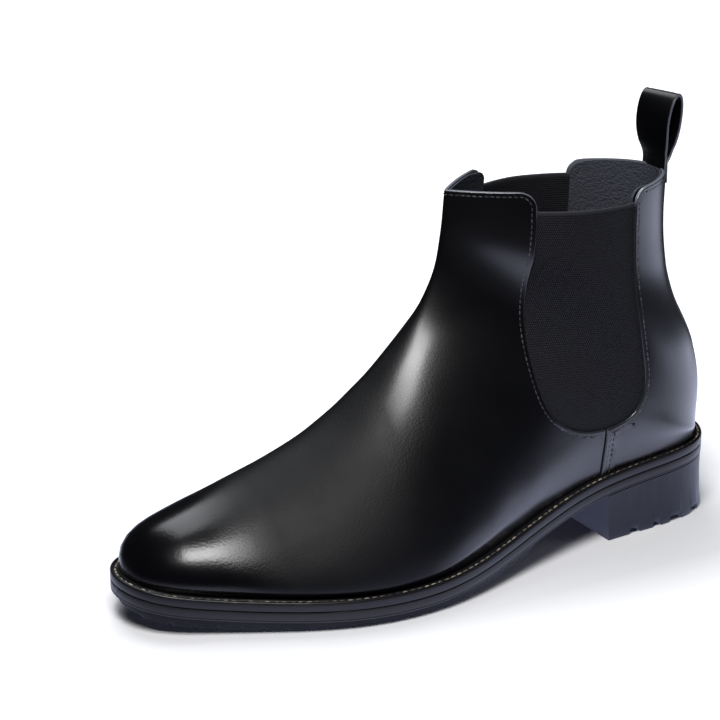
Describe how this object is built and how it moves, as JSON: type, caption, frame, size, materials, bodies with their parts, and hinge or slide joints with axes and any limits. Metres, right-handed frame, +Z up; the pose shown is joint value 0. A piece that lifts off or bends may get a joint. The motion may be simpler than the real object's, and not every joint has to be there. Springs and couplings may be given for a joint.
{
  "type": "chelsea boot",
  "caption": "Left chelsea boot in glossy black leather with elastic side gores, a pull tab, a stitched welt, a lugged rubber sole and a stacked heel.",
  "frame": {"origin": "centre of the boot's bounding box, on the ground it stands on", "axes": "toe towards -Y, heel towards +Y, +X towards the wearer's left (the lateral side), +Z up"},
  "size_m": [0.103, 0.305, 0.2016],
  "materials": {
    "black_leather": "polished, glossy, fine grain",
    "lining_leather": "matt grained lining",
    "gore_elastic": "ribbed elastic webbing",
    "tab_leather": "semi-gloss leather",
    "thread_black": "waxed thread",
    "thread_gold": "waxed thread",
    "sole_rubber": "satin moulded rubber",
    "sole_edge": "burnished sole edge",
    "fibre_board": "pressed fibre board",
    "cork": "ground cork",
    "pad_foam": "foam pad",
    "steel": "plain steel"
  },
  "bodies": {
    "boot": {"vamp": "black_leather", "quarter_lateral": "black_leather", "quarter_medial": "black_leather", "back_strip": "black_leather", "gore_lateral": "gore_elastic", "gore_medial": "gore_elastic", "vamp_lining": "lining_leather", "quarter_lining": "lining_leather", "sock_liner": "lining_leather", "toe_puff": "fibre_board", "heel_counter": "fibre_board", "insole_board": "fibre_board", "heel_seat_board": "fibre_board", "heel_pad": "pad_foam", "cork_filler": "cork", "shank": "steel", "welt": "sole_edge", "midsole": "sole_edge", "rubber_forepart": "sole_rubber", "heel_block": "sole_rubber", "welt_stitch": "thread_gold", "gore_seam_lateral": "thread_black", "gore_seam_medial": "thread_black", "side_seam_lateral": "thread_black", "side_seam_medial": "thread_black", "heel_nail_1": "steel", "heel_nail_2": "steel", "heel_nail_3": "steel", "heel_nail_4": "steel", "heel_nail_5": "steel"},
    "pull_tab": {"pull_tab": "tab_leather"}
  },
  "joints": [
    {"name": "pull_tab_fold", "type": "hinge", "parent": "boot", "child": "pull_tab", "pos_m": [-0.00873, 0.12571, 0.1686], "axis": [1, 0, 0], "range_deg": [-55, 60], "stiffness_Nm_per_rad": 0.01}
  ]
}
